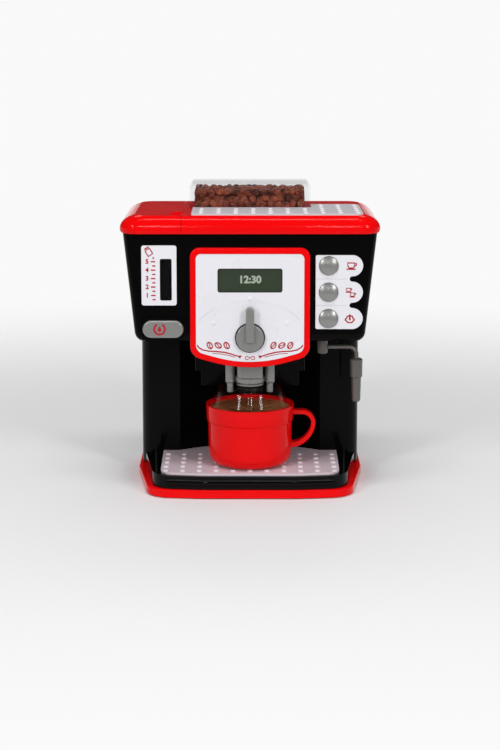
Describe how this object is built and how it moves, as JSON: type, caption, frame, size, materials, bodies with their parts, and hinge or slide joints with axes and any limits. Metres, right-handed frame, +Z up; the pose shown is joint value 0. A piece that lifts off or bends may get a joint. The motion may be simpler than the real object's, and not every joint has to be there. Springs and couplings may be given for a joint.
{
  "type": "toy coffee maker",
  "caption": "Toy coffee maker with a hinged tank lid, selector knob, push buttons, spouts, steam wand, sliding drip tray and a mug.",
  "frame": {"origin": "centre of the footprint on the surface that it stands on", "axes": "+Z up, -Y the front with the controls, +X the side with the steam wand"},
  "size_m": [0.2295, 0.152, 0.272],
  "materials": {
    "red_gloss": "glossy moulded red",
    "black_gloss": "glossy moulded black",
    "white_panel": "satin white",
    "pale_plate": "pale grey-lilac, satin",
    "silver_paint": "silver-grey, satin",
    "dark_silver": "gunmetal grey, satin",
    "clear_plastic": "clear moulded plastic",
    "smoked_lens": "smoked clear plastic",
    "bean_brown": "moulded brown",
    "coffee_brown": "milky brown",
    "foot_rubber": "matt rubber",
    "plated_steel": "zinc plated",
    "circuit_board": "green board",
    "battery_wrap": "plain grey wrap",
    "inner_plastic": "plain moulded",
    "printed_card": "printed film"
  },
  "bodies": {
    "machine": {"base_plinth": "red_gloss", "rubber_feet": "foot_rubber", "housing_screws": "plated_steel", "column_housing": "black_gloss", "head_housing": "black_gloss", "rear_cover": "black_gloss", "top_cap": "red_gloss", "lid_hinge_pin": "plated_steel", "cup_plate": "pale_plate", "hopper_cover": "clear_plastic", "bean_insert": "bean_brown", "face_bezel": "red_gloss", "face_panel": "white_panel", "display_card": "printed_card", "display_window": "smoked_lens", "display_lamps": "circuit_board", "selector_board": "circuit_board", "level_panel": "white_panel", "level_window": "clear_plastic", "water_tank": "clear_plastic", "valve_body": "inner_plastic", "valve_spring": "plated_steel", "water_hose": "clear_plastic", "water_manifold": "inner_plastic", "button_rim": "black_gloss", "button_panel": "white_panel", "spring_bottom": "plated_steel", "spring_middle": "plated_steel", "spring_top": "plated_steel", "switch_board": "circuit_board", "group_block": "black_gloss", "group_head": "silver_paint", "group_ring": "silver_paint", "left_spout": "silver_paint", "right_spout": "silver_paint", "splash_dome": "clear_plastic", "wand_collar": "dark_silver", "battery_box": "black_gloss", "batteries": "battery_wrap", "battery_contacts": "plated_steel", "battery_door": "black_gloss", "battery_screw": "plated_steel", "switch_case": "inner_plastic", "main_board": "circuit_board", "speaker": "plated_steel"},
    "tray": {"drip_tray": "black_gloss", "drip_plate": "pale_plate"},
    "cup": {"mug": "red_gloss", "coffee_disc": "coffee_brown"},
    "lid": {"tank_lid": "red_gloss"},
    "selector": {"selector_knob": "silver_paint", "selector_wiper": "plated_steel"},
    "water_key": {"water_button": "silver_paint"},
    "key_top": {"button_top": "silver_paint"},
    "key_middle": {"button_middle": "silver_paint"},
    "key_bottom": {"button_bottom": "silver_paint"},
    "wand": {"wand_knuckle": "dark_silver", "wand_pipe": "dark_silver", "wand_tip": "dark_silver"},
    "switch_slider": {"power_switch": "silver_paint"}
  },
  "joints": [
    {"name": "tray_slide", "type": "slide", "parent": "machine", "child": "tray", "axis": [0, -1, 0], "range_m": [0, 0.06]},
    {"name": "mug_slide", "type": "slide", "parent": "tray", "child": "cup", "axis": [0, -1, 0], "range_m": [0, 0.09]},
    {"name": "lid_hinge", "type": "hinge", "parent": "machine", "child": "lid", "pos_m": [-0.1133, 0, 0.2355], "axis": [0, -1, 0], "range_deg": [0, 100]},
    {"name": "selector_turn", "type": "hinge", "parent": "machine", "child": "selector", "pos_m": [0, -0.07, 0.1432], "axis": [0, 1, 0], "range_deg": [-68, 68]},
    {"name": "water_press", "type": "slide", "parent": "machine", "child": "water_key", "axis": [0, 1, 0], "range_m": [0, 0.003], "stiffness_N_per_m": 400, "springref_m": -0.003, "deforming": ["valve_spring"]},
    {"name": "top_press", "type": "slide", "parent": "machine", "child": "key_top", "axis": [0, 1, 0], "range_m": [0, 0.0025], "stiffness_N_per_m": 300, "springref_m": -0.003, "deforming": ["spring_top"]},
    {"name": "middle_press", "type": "slide", "parent": "machine", "child": "key_middle", "axis": [0, 1, 0], "range_m": [0, 0.0025], "stiffness_N_per_m": 300, "springref_m": -0.003, "deforming": ["spring_middle"]},
    {"name": "bottom_press", "type": "slide", "parent": "machine", "child": "key_bottom", "axis": [0, 1, 0], "range_m": [0, 0.0025], "stiffness_N_per_m": 300, "springref_m": -0.003, "deforming": ["spring_bottom"]},
    {"name": "wand_swivel", "type": "hinge", "parent": "machine", "child": "wand", "pos_m": [0.0645, -0.04, 0.13], "axis": [0, 0, 1], "range_deg": [-90, 45]},
    {"name": "power_slide", "type": "slide", "parent": "machine", "child": "switch_slider", "axis": [1, 0, 0], "range_m": [-0.0025, 0.0025]}
  ]
}
